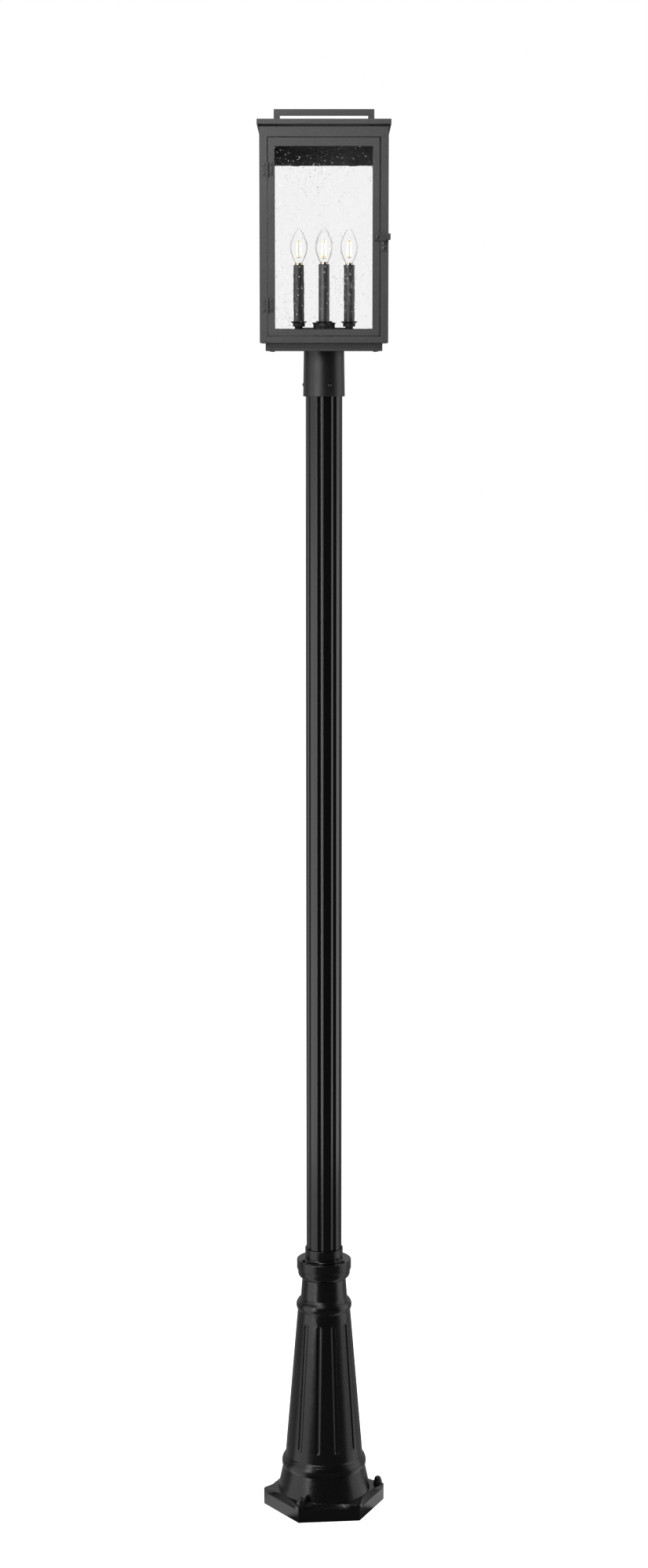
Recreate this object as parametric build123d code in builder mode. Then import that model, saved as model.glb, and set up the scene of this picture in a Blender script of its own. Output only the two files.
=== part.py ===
from build123d import *

import os
from math import atan2, cos, degrees, radians, sin

# Four-light lantern on a fluted post with a hexagonal cast base.
# Lengths are in millimetres and angles in degrees.
# The origin is on the ground on the post's axis, +Z is up, and the lantern's door faces -Y.

# Foundation plate, the hexagonal foot of the base casting
plate_circumradius = 132.6
plate_height = 35.0
plate_turn = 5.5
plate_top_wall = 8.0
plate_side_wall = 7.0
plate_corner_radius = 3.0
bevel_reach = 13.0
bevel_foot_reach = 1.2
bevel_drop = 7.5
bevel_half_width = 58.0

# Anchors, on every other corner of the plate
anchor_count = 3
anchor_circle_radius = 119.0
anchor_hole_radius = 6.0
anchor_boss_radius = 13.0
washer_radius = 10.5
washer_bore_radius = 5.6
washer_thickness = 2.0
anchor_nut_radius = 9.2
anchor_nut_height = 7.0
anchor_dome_radius = 7.6
anchor_dome_lift = 2.0
anchor_nut_bore_radius = 5.1
anchor_nut_bore_depth = 11.0

# Turned body of the base casting, from the plate upwards
casting_wall = 6.0
skirt_foot_radius = 100.5
skirt_top_radius = 89.8
skirt_height = 51.4
lower_bead_height = 22.0
lower_bead_bulge = 2.85
lower_shoulder_radius = 88.4
lower_ring_radius = 87.6
lower_ring_height = 6.4
lower_ring_bulge = 0.5
cone_foot_radius = 84.1
cone_top_radius = 57.1
cone_height = 327.5
middle_bead_height = 18.5
middle_bead_bulge = 2.75
middle_shoulder_radius = 58.0
middle_slope_height = 3.4
middle_slope_radius = 55.2
middle_groove_radius = 54.6
middle_flare_height = 6.6
neck_foot_radius = 50.4
neck_top_radius = 47.1
neck_height = 42.2
rim_radius = 56.4
rim_height = 20.0
rim_cove_height = 12.0
rim_cove_bulge = 2.4
wire_way_radius = 34.0

# Round-ended flutes sunk in the cone
cone_flute_count = 12
cone_flute_turn = -100.0
cone_flute_radius = 8.0
cone_flute_depth = 2.6
cone_flute_margin = 20.0

# Collar, the flanged sleeve that holds the post on the base
collar_flange_radius = 58.9
collar_flange_height = 22.0
collar_edge_radius = 2.4
collar_sleeve_radius = 40.9
collar_sleeve_height = 25.0
collar_foot_radius = 3.5
collar_clearance = 0.15
collar_bolt_count = 3
collar_bolt_turn = -155.0
collar_bolt_circle_radius = 49.5
collar_bolt_radius = 2.5
collar_bolt_clearance = 0.25
collar_bolt_depth = 11.0
collar_bolt_head_radius = 4.4
collar_bolt_head_height = 4.0
thread_clearance = 0.05

# Post tube
post_radius = 38.1
post_bore_radius = 33.4
post_length = 1967.0
post_flute_count = 8
post_flute_turn = -102.0
post_flute_width = 12.5
post_flute_depth = 2.3

# Fitter, the cap that carries the lantern on the post
fitter_top_radius = 41.8
fitter_bottom_radius = 43.3
fitter_length = 93.0
fitter_web = 4.0
fitter_clearance = 0.5
fitter_edge_radius = 0.8
set_screw_count = 3
set_screw_turn = -74.0
set_screw_height = 24.0
set_screw_radius = 3.0
set_screw_head_radius = 3.7
set_screw_head_height = 2.8

# Lantern body
sheet = 2.0
body_width = 260.0
body_height = 408.5
corner_width = 15.6
sill_height = 13.0
bottom_rail_height = 27.0
top_rail_height = 40.5
pan_inset = 11.5
pan_height = 16.0
pan_screw_inset = 11.5
pan_screw_radius = 2.0
pan_screw_clearance = 0.2
pan_screw_head_radius = 4.0
pan_screw_head_height = 1.8
pan_screw_stand = 4.0

# Crown and roof
header_height = 20.0
cornice_foot = 3.5
vent_gap = 5.0
roof_overhang = 5.0
roof_height = 10.0
roof_edge_radius = 0.8

# Carrying handle
handle_width = 205.8
handle_rise = 29.5
handle_bar = 12.6
handle_edge_radius = 0.6
handle_screw_radius = 2.0
handle_screw_depth = 12.0
handle_screw_head_radius = 4.0
handle_screw_head_height = 2.4

# Door
door_depth = 10.0
door_hinge_gap = 1.5
door_latch_gap = 2.6
door_top_gap = 1.5
door_bottom_gap = 1.4
door_stile = 13.3
door_top_rail = 16.8
door_bottom_rail = 12.6
door_edge_radius = 0.5

# Glazing
glass = 3.0
glass_lap = 5.5
pane_lap = 8.0
retainer_width = 12.0
retainer_thickness = 1.5
clip_width = 14.0
clip_thickness = 1.2
clip_foot = 11.0
clip_lip = 9.0
clip_spacing = 120.0

# Butt hinges
hinge_heights = (75.5, 345.0)
hinge_length = 26.2
hinge_reach = 10.5
hinge_leaf = 1.2
knuckle_radius = 2.3
knuckle_count = 3
knuckle_gap = 0.3
hinge_pin_radius = 1.15
running_clearance = 0.05
hinge_pin_head_radius = 1.9
hinge_pin_head_height = 1.0
hinge_screw_offset = 6.4
hinge_screw_spacing = 17.4
hinge_screw_radius = 1.3
hinge_screw_length = 4.6
hinge_screw_head_radius = 2.3
hinge_screw_head_height = 1.3

# Drop-bar latch
latch_height = 211.3
latch_pivot_inset = 4.3
latch_left_reach = 7.0
latch_right_reach = 26.4
latch_bar_height = 13.0
latch_bar_thickness = 2.0
latch_bar_corner = 1.5
latch_bush_radius = 3.2
latch_bush_length = 1.1
latch_face_clearance = 0.1
latch_pivot_radius = 1.6
latch_pivot_length = 7.0
latch_pivot_head_radius = 3.4
latch_pivot_head_height = 2.0
latch_tab_width = 8.0
latch_tab_depth = 7.5
latch_tab_edge_radius = 1.2
keeper_offset = 13.4
keeper_width = 9.0
keeper_sheet = 1.2
keeper_plate_height = 20.6
keeper_lip_height = 9.4
keeper_lip_gap = 1.0
keeper_rest_gap = 0.3
keeper_screw_spacing = 9.6
keeper_screw_inset = 5.0
keeper_screw_radius = 1.5
keeper_screw_length = 4.6
keeper_screw_head_radius = 3.2
keeper_screw_head_height = 1.5

# Candle cluster
candle_count = 4
candle_circle_radius = 52.0
nipple_radius = 4.85
nipple_bore_radius = 3.2
nipple_clearance = 0.35
nipple_nut_radius = 9.8
nipple_nut_height = 6.0
nipple_tail = 4.0
hub_radius = 22.5
hub_height = 37.5
hub_wall = 2.0
hub_cap_radius = 24.2
hub_cap_height = 3.0
hub_cap_edge_radius = 0.8
arm_radius = 4.0
arm_bore_radius = 2.6
arm_height = 26.0
arm_insert = 2.0
arm_clearance = 0.05
cup_stem_radius = 8.0
cup_stem_height = 13.0
cup_stem_drop = 7.0
cup_radius = 12.5
cup_height = 6.5
cup_dish_radius = 16.8
cup_dish_height = 4.0
cup_dish_edge = 0.9
cup_recess_depth = 7.0
sleeve_radius = 11.0
sleeve_bore_radius = 10.0
sleeve_length = 122.0
sleeve_clearance = 0.2

# Lamp sockets and bulbs
socket_stem_radius = 4.0
socket_stem_bore_radius = 2.6
socket_radius = 9.4
socket_length = 32.0
socket_inset = 2.5
socket_floor = 10.0
socket_stem_insert = 5.0
bulb_base_radius = 6.0
bulb_base_length = 19.0
bulb_base_clearance = 0.3
bulb_contact_radius = 2.5
bulb_contact_height = 3.0
bulb_collar_radius = 8.0
bulb_collar_height = 6.5
bulb_radius = 17.5
bulb_length = 71.0
bulb_neck_radius = 7.4
bulb_shoulder_height = 27.0
bulb_tip_radius = 1.6
bulb_neck_lean = (0.55, 1)
bulb_tip_lean = (-0.75, 1)
bulb_wall = 0.9
bulb_stem_radius = 5.0
bulb_stem_tip_radius = 1.6
bulb_stem_height = 9.0
filament_count = 4
filament_radius = 0.75
filament_foot_circle = 6.4
filament_top_circle = 4.4
filament_foot_height = 12.0
filament_top_height = 44.0
support_wire_radius = 0.4

# Heights above the ground, stacked from the base to the handle
skirt_top = plate_height + skirt_height
lower_shoulder = skirt_top + lower_bead_height
cone_foot = lower_shoulder + lower_ring_height
cone_top = cone_foot + cone_height
middle_shoulder = cone_top + middle_bead_height
middle_groove = middle_shoulder + middle_slope_height
neck_foot = middle_groove + middle_flare_height
rim_bottom = neck_foot + neck_height
rim_top = rim_bottom + rim_height
collar_top = rim_top + collar_flange_height
post_top = rim_top + post_length
fitter_top = post_top + fitter_web
body_bottom = fitter_top + pan_height
floor_top = body_bottom + sheet
header_bottom = body_bottom + body_height
header_top = header_bottom + header_height
roof_bottom = header_top + vent_gap
roof_top = roof_bottom + roof_height

# Places in the lantern that several pieces share
body_half = body_width / 2
pan_half = body_half - pan_inset
roof_half = body_half + roof_overhang
pan_screw_spacing = 2 * (pan_half - pan_screw_inset)
body_inner = body_half - sheet
corner_inner = body_half - corner_width
pane_inner = body_inner - glass
pane_half = corner_inner + glass_lap
pane_top = header_bottom - top_rail_height + pane_lap
door_left = -corner_inner + door_hinge_gap
door_right = corner_inner - door_latch_gap
door_bottom = body_bottom + sill_height + door_bottom_gap
door_top = header_bottom - door_top_gap
door_back = -body_half + door_depth
opening_left = door_left + door_stile
opening_right = door_right - door_stile
opening_bottom = door_bottom + door_bottom_rail
opening_top = door_top - door_top_rail

finished = {}


def block(low, high, mode=Mode.ADD):
    """Box between two opposite corners, combined with the piece that is being built."""
    size = [b - a for a, b in zip(low, high)]
    centre = Vector(low).add(Vector(high)) / 2
    with Locations(centre):
        Box(*size, mode=mode)


def button_screw(seat, head_radius, head_height, shank_radius, shank_length):
    """Dome-headed screw. The seat's origin is under the head, and its normal points out of it."""
    half_section = Plane(seat.origin, x_dir=seat.x_dir, z_dir=-seat.y_dir)
    edge_height = head_height / 3
    with BuildPart() as screw:
        with BuildSketch(half_section):
            with BuildLine():
                Polyline(
                    (0, head_height),
                    (0, -shank_length),
                    (shank_radius, -shank_length),
                    (shank_radius, 0),
                    (head_radius, 0),
                    (head_radius, edge_height),
                )
                TangentArc((0, head_height), (head_radius, edge_height), tangent=(1, 0))
            make_face()
        revolve(axis=Axis(seat.origin, seat.z_dir))
    return screw.part


def radial_plane(azimuth, radius, height):
    """Plane at this azimuth, radius and height that faces outwards."""
    outward = Vector(cos(radians(azimuth)), sin(radians(azimuth)), 0)
    sideways = Vector(-outward.Y, outward.X, 0)
    return Plane(outward * radius + Vector(0, 0, height), x_dir=sideways, z_dir=outward)


# Base casting: a hollow hexagonal plate with a turned, fluted body
plate_apothem = plate_circumradius * cos(radians(30))
cone_lean = degrees(atan2(cone_foot_radius - cone_top_radius, cone_height))
flute_low = cone_foot + cone_flute_margin + cone_flute_radius
flute_high = cone_top - cone_flute_margin - cone_flute_radius


def cone_radius(height):
    """Outer radius of the cone at this height."""
    share = (height - cone_foot) / cone_height
    return cone_foot_radius + share * (cone_top_radius - cone_foot_radius)


def flute_centre(height):
    """Centre of the flute cutter, outside the cone so that the flute has its depth."""
    lift = cone_flute_radius - cone_flute_depth
    return Vector(
        cone_radius(height) + lift * cos(radians(cone_lean)),
        0,
        height + lift * sin(radians(cone_lean)),
    )


flute_start = flute_centre(flute_low)
flute_run = flute_centre(flute_high) - flute_start
with BuildPart() as cone_flute:
    with BuildSketch(Plane(flute_start, x_dir=(0, 1, 0), z_dir=flute_run)):
        Circle(cone_flute_radius)
    extrude(amount=flute_run.length)
    with Locations(flute_start, flute_start + flute_run):
        Sphere(cone_flute_radius)

with BuildPart() as plate_bevel:
    levels = ((plate_height - bevel_drop, bevel_foot_reach), (plate_height, bevel_reach))
    for level, reach in levels:
        with BuildSketch(Plane.XY.offset(level)):
            with BuildLine():
                ThreePointArc(
                    (plate_apothem, -bevel_half_width),
                    (plate_apothem - reach, 0),
                    (plate_apothem, bevel_half_width),
                )
                Polyline(
                    (plate_apothem, bevel_half_width),
                    (plate_circumradius, bevel_half_width),
                    (plate_circumradius, -bevel_half_width),
                    (plate_apothem, -bevel_half_width),
                )
            make_face()
    loft(ruled=True)

with BuildPart() as base_casting:
    with BuildSketch(Plane.XY):
        RegularPolygon(plate_circumradius, 6, rotation=plate_turn)
    extrude(amount=plate_height)
    fillet(base_casting.edges().filter_by(Axis.Z), radius=plate_corner_radius)
    with PolarLocations(0, 6, start_angle=plate_turn + 30):
        add(plate_bevel.part, mode=Mode.SUBTRACT)
    with BuildSketch(Plane.XZ):
        with BuildLine():
            Polyline(
                (0, plate_height / 2),
                (skirt_foot_radius, plate_height / 2),
                (skirt_foot_radius, plate_height),
                (skirt_top_radius, skirt_top),
            )
            SagittaArc(
                (skirt_top_radius, skirt_top),
                (lower_shoulder_radius, lower_shoulder),
                -lower_bead_bulge,
            )
            Line((lower_shoulder_radius, lower_shoulder), (lower_ring_radius, lower_shoulder))
            SagittaArc(
                (lower_ring_radius, lower_shoulder),
                (cone_foot_radius, cone_foot),
                -lower_ring_bulge,
            )
            Line((cone_foot_radius, cone_foot), (cone_top_radius, cone_top))
            SagittaArc(
                (cone_top_radius, cone_top),
                (middle_shoulder_radius, middle_shoulder),
                -middle_bead_bulge,
            )
            Polyline(
                (middle_shoulder_radius, middle_shoulder),
                (middle_slope_radius, middle_groove),
                (middle_groove_radius, middle_groove),
                (neck_foot_radius, neck_foot),
                (neck_top_radius, rim_bottom),
            )
            SagittaArc(
                (neck_top_radius, rim_bottom),
                (rim_radius, rim_bottom + rim_cove_height),
                -rim_cove_bulge,
            )
            Polyline(
                (rim_radius, rim_bottom + rim_cove_height),
                (rim_radius, rim_top),
                (0, rim_top),
                (0, plate_height / 2),
            )
        make_face()
    revolve(axis=Axis.Z)
    with PolarLocations(0, cone_flute_count, start_angle=cone_flute_turn):
        add(cone_flute.part, mode=Mode.SUBTRACT)
    with BuildSketch(Plane.XY):
        RegularPolygon(
            plate_apothem - plate_side_wall, 6, major_radius=False, rotation=plate_turn
        )
        with PolarLocations(anchor_circle_radius, anchor_count, start_angle=plate_turn):
            Circle(anchor_boss_radius, mode=Mode.SUBTRACT)
    extrude(amount=plate_height - plate_top_wall, mode=Mode.SUBTRACT)
    with BuildSketch(Plane.XZ):
        with BuildLine():
            Polyline(
                (0, plate_height / 2),
                (skirt_foot_radius - casting_wall, plate_height / 2),
                (skirt_foot_radius - casting_wall, plate_height),
                (skirt_top_radius - casting_wall, skirt_top),
                (cone_foot_radius - casting_wall, cone_foot),
                (cone_top_radius - casting_wall, cone_top),
                (neck_foot_radius - casting_wall, neck_foot),
                (neck_top_radius - casting_wall, rim_bottom - casting_wall),
                (wire_way_radius, rim_bottom),
                (wire_way_radius, rim_top),
                (0, rim_top),
                close=True,
            )
        make_face()
    revolve(axis=Axis.Z, mode=Mode.SUBTRACT)
    with BuildSketch(Plane.XY):
        with PolarLocations(anchor_circle_radius, anchor_count, start_angle=plate_turn):
            Circle(anchor_hole_radius)
    extrude(amount=plate_height, mode=Mode.SUBTRACT)
    with BuildSketch(Plane.XY.offset(rim_top)):
        with PolarLocations(
            collar_bolt_circle_radius, collar_bolt_count, start_angle=collar_bolt_turn
        ):
            Circle(collar_bolt_radius + thread_clearance)
    extrude(amount=-collar_bolt_depth - collar_bolt_radius, mode=Mode.SUBTRACT)
finished["base_casting"] = base_casting

# Anchor washers and domed nuts on the plate
with BuildPart() as anchor_washers:
    with BuildSketch(Plane.XY.offset(plate_height)):
        with PolarLocations(anchor_circle_radius, anchor_count, start_angle=plate_turn):
            Circle(washer_radius)
            Circle(washer_bore_radius, mode=Mode.SUBTRACT)
    extrude(amount=washer_thickness)
finished["anchor_washers"] = anchor_washers

nut_seat = plate_height + washer_thickness
with BuildPart() as anchor_nut:
    with BuildSketch(Plane.XY.offset(nut_seat)):
        RegularPolygon(anchor_nut_radius, 6)
    extrude(amount=anchor_nut_height)
    with Locations((0, 0, nut_seat + anchor_nut_height + anchor_dome_lift)):
        Sphere(anchor_dome_radius)
    with BuildSketch(Plane.XY.offset(nut_seat)):
        Circle(anchor_nut_bore_radius)
    extrude(amount=anchor_nut_bore_depth, mode=Mode.SUBTRACT)
with BuildPart() as anchor_nuts:
    with PolarLocations(anchor_circle_radius, anchor_count, start_angle=plate_turn):
        add(anchor_nut.part)
finished["anchor_nuts"] = anchor_nuts

# Collar: a flange on the casting's rim and a sleeve round the post
with BuildPart() as post_collar:
    with BuildSketch(Plane.XY.offset(rim_top)):
        Circle(collar_flange_radius)
    extrude(amount=collar_flange_height)
    fillet(post_collar.edges().filter_by(GeomType.CIRCLE), radius=collar_edge_radius)
    with BuildSketch(Plane.XY.offset(collar_top)):
        Circle(collar_sleeve_radius)
    extrude(amount=collar_sleeve_height)
    foot_edges = post_collar.edges().filter_by(GeomType.CIRCLE).filter_by_position(
        Axis.Z, collar_top, collar_top
    )
    fillet(foot_edges.sort_by(SortBy.RADIUS)[0], radius=collar_foot_radius)
    with BuildSketch(Plane.XY.offset(rim_top)):
        Circle(post_radius + collar_clearance)
        with PolarLocations(
            collar_bolt_circle_radius, collar_bolt_count, start_angle=collar_bolt_turn
        ):
            Circle(collar_bolt_radius + collar_bolt_clearance)
    extrude(amount=collar_flange_height + collar_sleeve_height, mode=Mode.SUBTRACT)
finished["post_collar"] = post_collar

with BuildPart() as collar_bolts:
    with BuildSketch(Plane.XY.offset(rim_top - collar_bolt_depth)):
        with PolarLocations(
            collar_bolt_circle_radius, collar_bolt_count, start_angle=collar_bolt_turn
        ):
            Circle(collar_bolt_radius)
    extrude(amount=collar_bolt_depth + collar_flange_height)
    with BuildSketch(Plane.XY.offset(collar_top)):
        with PolarLocations(
            collar_bolt_circle_radius, collar_bolt_count, start_angle=collar_bolt_turn
        ):
            RegularPolygon(collar_bolt_head_radius, 6)
    extrude(amount=collar_bolt_head_height)
finished["collar_bolts"] = collar_bolts

# Post tube with its shallow round flutes
flute_half = post_flute_width / 2
flute_sagitta = post_flute_depth - (post_radius - (post_radius**2 - flute_half**2) ** 0.5)
post_flute_radius = (flute_half**2 + flute_sagitta**2) / (2 * flute_sagitta)
with BuildPart() as post_tube:
    with BuildSketch(Plane.XY.offset(rim_top)):
        Circle(post_radius)
        with PolarLocations(
            post_radius - post_flute_depth + post_flute_radius,
            post_flute_count,
            start_angle=post_flute_turn,
        ):
            Circle(post_flute_radius, mode=Mode.SUBTRACT)
        Circle(post_bore_radius, mode=Mode.SUBTRACT)
    extrude(amount=post_length)
finished["post_tube"] = post_tube

# Fitter over the post's top, with three set screws
fitter_bottom = fitter_top - fitter_length
fitter_bore_radius = post_radius + fitter_clearance
set_screw_level = fitter_bottom + set_screw_height
set_screw_azimuths = [
    set_screw_turn + 360 / set_screw_count * index for index in range(set_screw_count)
]
with BuildPart() as post_fitter:
    with BuildSketch(Plane.XZ):
        with BuildLine():
            Polyline(
                (fitter_bore_radius, fitter_bottom),
                (fitter_bottom_radius, fitter_bottom),
                (fitter_top_radius, fitter_top),
                (nipple_radius + nipple_clearance, fitter_top),
                (nipple_radius + nipple_clearance, post_top),
                (fitter_bore_radius, post_top),
                close=True,
            )
        make_face()
    revolve(axis=Axis.Z)
    bottom_edges = post_fitter.edges().filter_by(GeomType.CIRCLE).group_by(Axis.Z)[0]
    fillet(bottom_edges.sort_by(SortBy.RADIUS)[-1], radius=fitter_edge_radius)
    for azimuth in set_screw_azimuths:
        with BuildSketch(radial_plane(azimuth, post_radius, set_screw_level)):
            Circle(set_screw_radius + thread_clearance)
        extrude(amount=fitter_bottom_radius, mode=Mode.SUBTRACT)
finished["post_fitter"] = post_fitter

set_screw_seat = fitter_bottom_radius
set_screw_parts = [
    button_screw(
        radial_plane(azimuth, set_screw_seat, set_screw_level),
        set_screw_head_radius,
        set_screw_head_height,
        set_screw_radius,
        set_screw_seat - post_radius - thread_clearance,
    )
    for azimuth in set_screw_azimuths
]
with BuildPart() as fitter_set_screws:
    add(set_screw_parts)
finished["fitter_set_screws"] = fitter_set_screws

# Pan under the lantern and the floor plate that closes it
with BuildPart() as base_pan:
    block((-pan_half, -pan_half, fitter_top), (pan_half, pan_half, body_bottom))
    block(
        (-pan_half + sheet, -pan_half + sheet, fitter_top + sheet),
        (pan_half - sheet, pan_half - sheet, body_bottom),
        mode=Mode.SUBTRACT,
    )
    with BuildSketch(Plane.XY.offset(fitter_top)):
        Circle(nipple_radius + nipple_clearance)
        with GridLocations(pan_screw_spacing, pan_screw_spacing, 2, 2):
            Circle(pan_screw_radius + pan_screw_clearance)
    extrude(amount=sheet, mode=Mode.SUBTRACT)
finished["base_pan"] = base_pan

with BuildPart() as floor_plate:
    block((-body_inner, -body_inner, body_bottom), (body_inner, body_inner, floor_top))
    with BuildSketch(Plane.XY.offset(body_bottom)):
        Circle(nipple_radius + nipple_clearance)
        with GridLocations(pan_screw_spacing, pan_screw_spacing, 2, 2):
            Circle(pan_screw_radius + thread_clearance)
    extrude(amount=sheet, mode=Mode.SUBTRACT)
finished["floor_plate"] = floor_plate

pan_screw = button_screw(
    Plane((0, 0, fitter_top), x_dir=(1, 0, 0), z_dir=(0, 0, -1)),
    pan_screw_head_radius,
    pan_screw_head_height,
    pan_screw_radius,
    floor_top + pan_screw_stand - fitter_top,
)
with BuildPart() as pan_screws:
    with GridLocations(pan_screw_spacing, pan_screw_spacing, 2, 2):
        add(pan_screw)
finished["pan_screws"] = pan_screws

# Heights and places of the hinges and the latch on the front
hinge_axis_x = (door_left - corner_inner) / 2
hinge_axis_y = -body_half - knuckle_radius
hinge_levels = [body_bottom + height for height in hinge_heights]
hinge_screw_levels = [
    level + shift
    for level in hinge_levels
    for shift in (-hinge_screw_spacing / 2, hinge_screw_spacing / 2)
]
latch_level = body_bottom + latch_height
latch_pivot_x = door_right - latch_pivot_inset
keeper_x = latch_pivot_x + keeper_offset
keeper_ledge_top = latch_level - latch_bar_height / 2 - keeper_rest_gap
keeper_plate_top = keeper_ledge_top - keeper_sheet
keeper_screw_levels = [
    keeper_plate_top - keeper_screw_inset,
    keeper_plate_top - keeper_screw_inset - keeper_screw_spacing,
]


def front_holes(places, radius):
    """Through holes in the front sheet at these X and Z places."""
    for x, z in places:
        with Locations(Plane((x, -body_half, z), x_dir=(1, 0, 0), z_dir=(0, -1, 0))):
            Cylinder(radius, 4 * sheet, mode=Mode.SUBTRACT)


# Corner posts, each a folded angle
for name, x_side, y_side in (
    ("front_left", -1, -1),
    ("front_right", 1, -1),
    ("rear_left", -1, 1),
    ("rear_right", 1, 1),
):
    with BuildPart() as corner_post:
        with BuildSketch(Plane.XY.offset(body_bottom)):
            with BuildLine():
                Polyline(
                    (x_side * body_half, y_side * body_half),
                    (x_side * corner_inner, y_side * body_half),
                    (x_side * corner_inner, y_side * body_inner),
                    (x_side * body_inner, y_side * body_inner),
                    (x_side * body_inner, y_side * corner_inner),
                    (x_side * body_half, y_side * corner_inner),
                    close=True,
                )
            make_face()
        extrude(amount=body_height)
        if name == "front_left":
            front_holes(
                [(hinge_axis_x - hinge_screw_offset, level) for level in hinge_screw_levels],
                hinge_screw_radius + thread_clearance,
            )
        if name == "front_right":
            front_holes(
                [(keeper_x, level) for level in keeper_screw_levels],
                keeper_screw_radius + thread_clearance,
            )
    finished[f"corner_post_{name}"] = corner_post

# Front sill, and the headers above the door and the rear pane
with BuildPart() as front_sill:
    block(
        (-corner_inner, -body_half, body_bottom),
        (corner_inner, -body_inner, body_bottom + sill_height),
    )
finished["front_sill"] = front_sill

for name, y_low, y_high in (
    ("front_header", -body_half, -body_inner),
    ("rear_header", body_inner, body_half),
):
    with BuildPart() as header:
        block((-body_half, y_low, header_bottom), (body_half, y_high, header_top))
    finished[name] = header

# Rails and panes of the three fixed sides, drawn for the rear and turned about the axis
with BuildPart() as top_rail:
    block(
        (-corner_inner, body_inner, header_bottom - top_rail_height),
        (corner_inner, body_half, header_bottom),
    )
with BuildPart() as bottom_rail:
    block(
        (-corner_inner, body_inner, body_bottom),
        (corner_inner, body_half, body_bottom + bottom_rail_height),
    )
with BuildPart() as fixed_pane:
    block((-pane_half, pane_inner, floor_top), (pane_half, body_inner, pane_top))

for side, turn in (("rear", 0), ("left", 90), ("right", -90)):
    for piece_name, drawn in (
        ("top_rail", top_rail),
        ("bottom_rail", bottom_rail),
        ("glass", fixed_pane),
    ):
        with BuildPart() as turned:
            add(drawn.part, rotation=(0, 0, turn))
        finished[f"{side}_{piece_name}"] = turned

# Clips that hold the fixed panes at their top and bottom edges
clip_behind = pane_inner - clip_thickness
with BuildPart() as glass_clip_pair:
    with BuildSketch(Plane.YZ.offset(-clip_width / 2)):
        with BuildLine():
            Polyline(
                (body_inner, pane_top + clip_foot),
                (body_inner - clip_thickness, pane_top + clip_foot),
                (body_inner - clip_thickness, pane_top + clip_thickness),
                (clip_behind, pane_top + clip_thickness),
                (clip_behind, pane_top - clip_lip),
                (pane_inner, pane_top - clip_lip),
                (pane_inner, pane_top),
                (body_inner, pane_top),
                close=True,
            )
        make_face()
        with BuildLine():
            Polyline(
                (pane_inner, floor_top),
                (pane_inner, floor_top + clip_lip),
                (clip_behind, floor_top + clip_lip),
                (clip_behind, floor_top + clip_thickness),
                (clip_behind - clip_foot, floor_top + clip_thickness),
                (clip_behind - clip_foot, floor_top),
                close=True,
            )
        make_face()
    extrude(amount=clip_width)
with BuildPart() as glass_clips:
    for turn in (0, 90, -90):
        with PolarLocations(0, 1, start_angle=turn):
            with Locations((-clip_spacing / 2, 0), (clip_spacing / 2, 0)):
                add(glass_clip_pair.part)
finished["glass_clips"] = glass_clips

# Cornices, the flared side plates under the roof
for name, x_side in (("left_cornice", -1), ("right_cornice", 1)):
    with BuildPart() as cornice:
        with BuildSketch(Plane.XZ.offset(-body_inner)):
            with BuildLine():
                Polyline(
                    (x_side * body_half, header_bottom),
                    (x_side * body_half, header_bottom + cornice_foot),
                    (x_side * roof_half, roof_bottom),
                    (x_side * (roof_half - sheet), roof_bottom),
                    (x_side * body_inner, header_bottom + cornice_foot),
                    (x_side * body_inner, header_bottom),
                    close=True,
                )
            make_face()
        extrude(amount=2 * body_inner)
    finished[name] = cornice

# Roof: a shallow tray turned down at its edges
handle_screw_spacing = handle_width - handle_bar
with BuildPart() as roof_plate:
    block((-roof_half, -roof_half, roof_bottom), (roof_half, roof_half, roof_top))
    fillet(roof_plate.edges().group_by(Axis.Z)[-1], radius=roof_edge_radius)
    block(
        (-roof_half + sheet, -roof_half + sheet, roof_bottom),
        (roof_half - sheet, roof_half - sheet, roof_top - sheet),
        mode=Mode.SUBTRACT,
    )
    with BuildSketch(Plane.XY.offset(roof_top - sheet)):
        with GridLocations(handle_screw_spacing, 0, 2, 1):
            Circle(handle_screw_radius + pan_screw_clearance)
    extrude(amount=sheet, mode=Mode.SUBTRACT)
finished["roof_plate"] = roof_plate

# Carrying handle, a square bar bent to a low bridge
with BuildPart() as handle:
    with BuildSketch(Plane.XZ.offset(-handle_bar / 2)):
        with Locations((0, roof_top + handle_rise / 2)):
            Rectangle(handle_width, handle_rise)
        with Locations((0, roof_top + (handle_rise - handle_bar) / 2)):
            Rectangle(
                handle_width - 2 * handle_bar, handle_rise - handle_bar, mode=Mode.SUBTRACT
            )
    extrude(amount=handle_bar)
    fillet(handle.edges().filter_by(Axis.Y), radius=handle_edge_radius)
    with BuildSketch(Plane.XY.offset(roof_top)):
        with GridLocations(handle_screw_spacing, 0, 2, 1):
            Circle(handle_screw_radius + thread_clearance)
    extrude(amount=handle_screw_depth, mode=Mode.SUBTRACT)
finished["handle"] = handle

handle_screw = button_screw(
    Plane((0, 0, roof_top - sheet), x_dir=(1, 0, 0), z_dir=(0, 0, -1)),
    handle_screw_head_radius,
    handle_screw_head_height,
    handle_screw_radius,
    sheet + handle_screw_depth - handle_screw_radius,
)
with BuildPart() as handle_screws:
    with GridLocations(handle_screw_spacing, 0, 2, 1):
        add(handle_screw)
finished["handle_screws"] = handle_screws

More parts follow.
